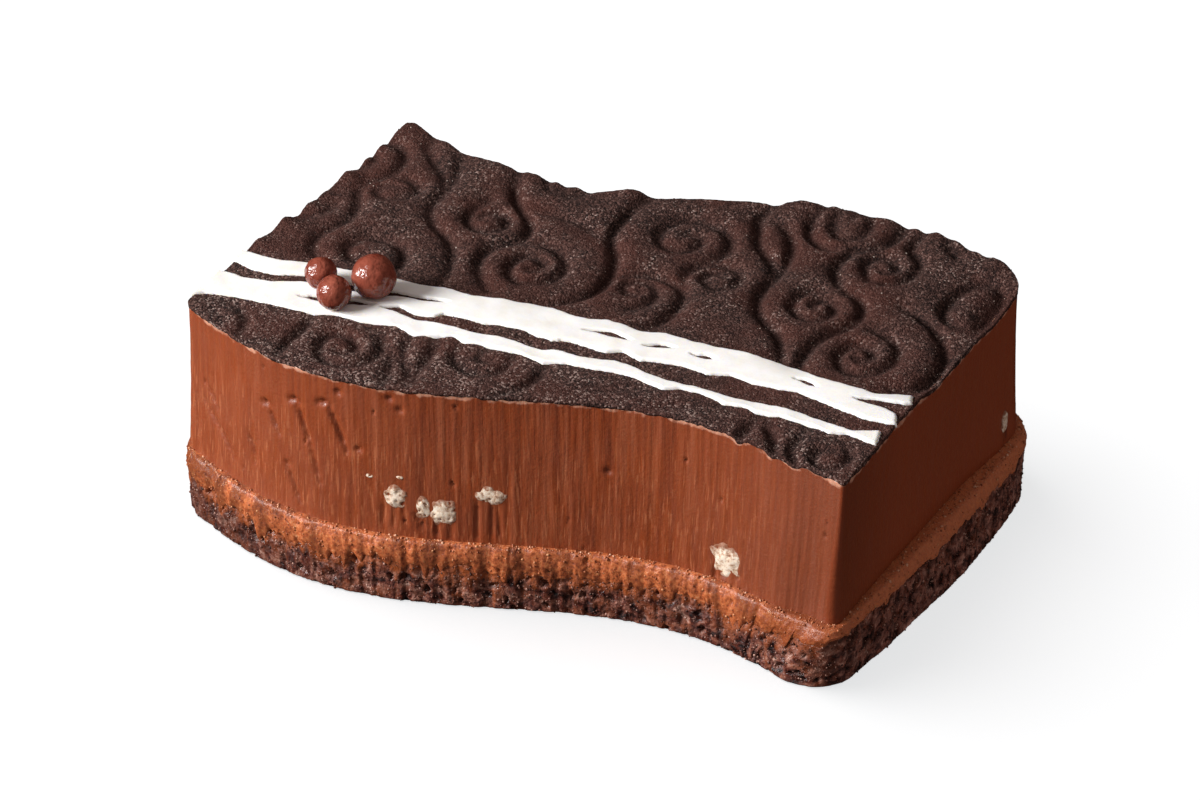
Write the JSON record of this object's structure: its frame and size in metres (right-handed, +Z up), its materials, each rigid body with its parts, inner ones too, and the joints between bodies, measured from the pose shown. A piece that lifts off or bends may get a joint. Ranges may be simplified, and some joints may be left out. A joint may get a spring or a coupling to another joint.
{
  "type": "chocolate hazelnut crunch cake",
  "caption": "Wave-cut portion of layered chocolate mousse cake on praline and sponge, with an embossed cocoa top, white chocolate lines and crunch pearls.",
  "frame": {"origin": "on the surface that the cake stands on, under the middle of its wave-cut plan", "axes": "+X along the length of the portion, +Y from its front wave to its back wave, +Z up through the layers"},
  "size_m": [0.0996, 0.0751, 0.0386],
  "materials": {
    "chocolate_sponge": "moist open crumb of very dark chocolate sponge, matte with glossy wet spots",
    "hazelnut_praline": "soft grainy orange-brown hazelnut paste, smeared by the knife",
    "chocolate_mousse": "dense milk-brown mousse with a satin cut face and fine upright knife marks",
    "cocoa_crust": "powdery black-brown cocoa over an embossed surface, with fine pale grains",
    "white_chocolate": "set white chocolate, satin",
    "pearl_chocolate": "polished milk chocolate coating",
    "puffed_crisp": "pale puffed cereal, cut open and porous"
  },
  "bodies": {
    "root": {"sponge_base": "chocolate_sponge", "praline_layer": "hazelnut_praline", "mousse_layer": "chocolate_mousse", "cocoa_top": "cocoa_crust", "crunch_pearl_large": "pearl_chocolate", "crunch_pearl_front": "pearl_chocolate", "crunch_pearl_small": "pearl_chocolate"}
  },
  "joints": []
}
